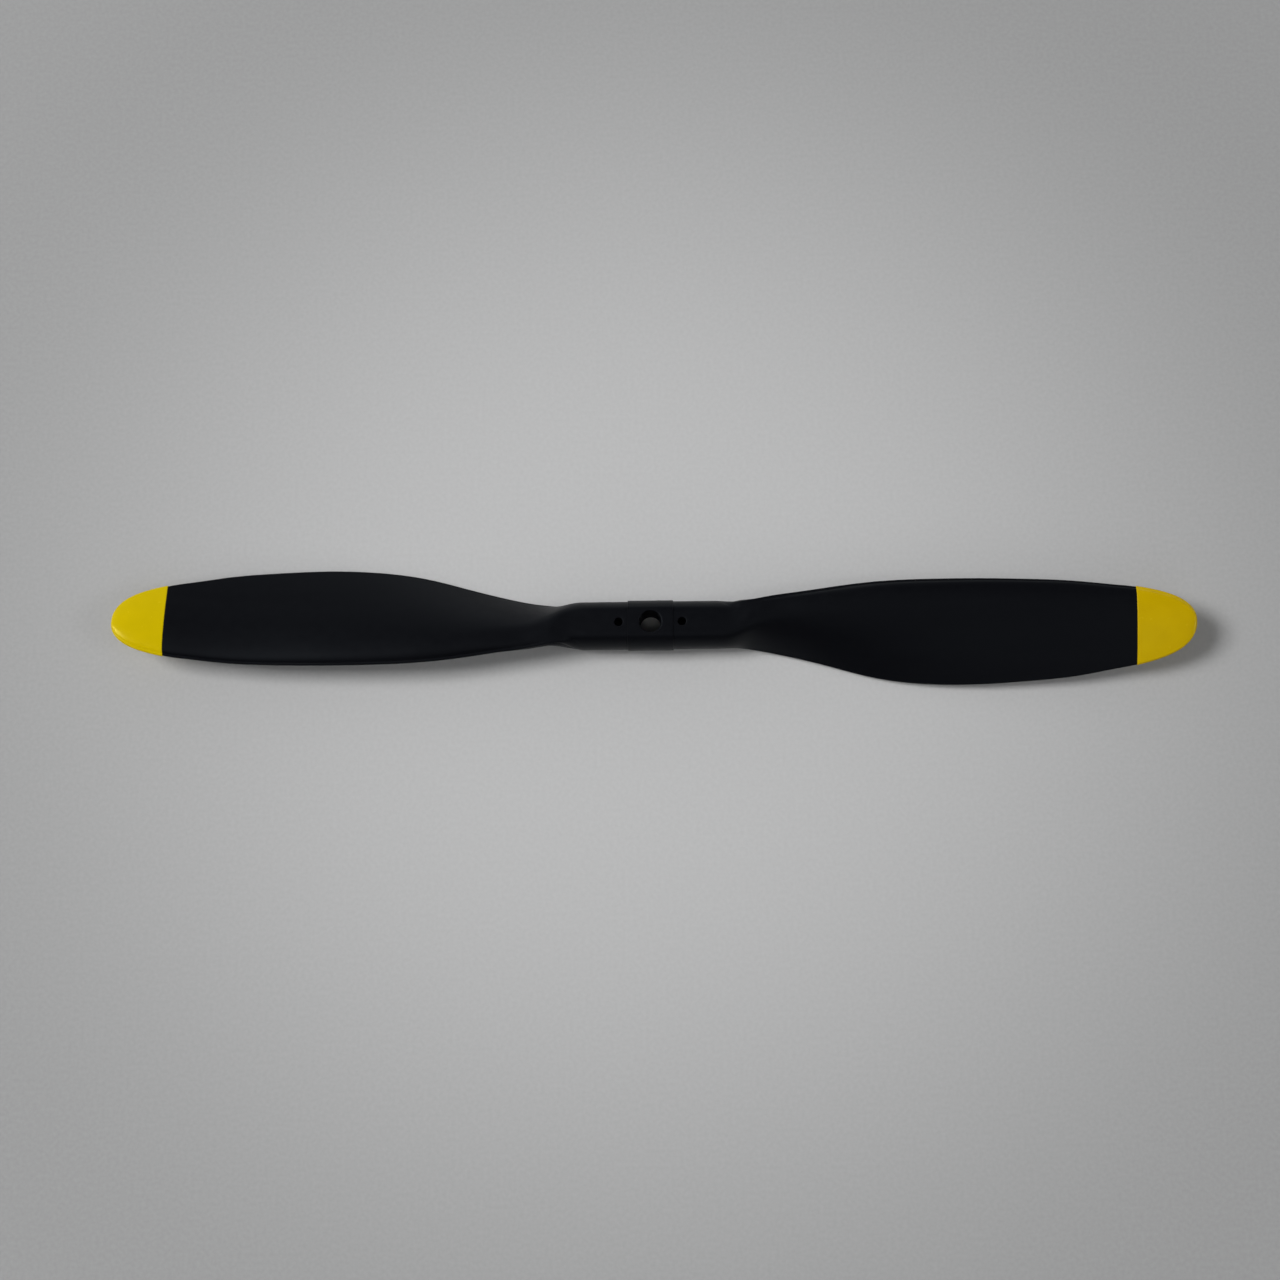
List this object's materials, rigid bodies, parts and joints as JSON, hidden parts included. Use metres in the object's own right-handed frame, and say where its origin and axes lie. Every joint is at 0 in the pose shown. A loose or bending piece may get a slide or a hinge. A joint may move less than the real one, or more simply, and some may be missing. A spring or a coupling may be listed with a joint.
{
  "type": "propeller",
  "caption": "Fixed-pitch model aircraft propeller: narrow barrel hub with a raised band, a shaft bore between screw holes, twisted paddle blades and painted tips.",
  "frame": {"origin": "centre of the bore at the hub's rear clamping face, which rests on the drive flange", "axes": "+X along the blades, +Z along the bore towards the front of the aircraft, +Y across the blades; the leading edge of the +X blade faces +Y"},
  "size_m": [0.3048, 0.035, 0.0127],
  "materials": {
    "black_nylon": "satin glass-filled nylon, black with a slightly cool sheen",
    "yellow_paint": "semi-gloss yellow tip paint"
  },
  "bodies": {
    "root": {"hub": "black_nylon", "left_blade": "black_nylon", "right_blade": "black_nylon", "left_tip_paint": "yellow_paint", "right_tip_paint": "yellow_paint"}
  },
  "joints": []
}
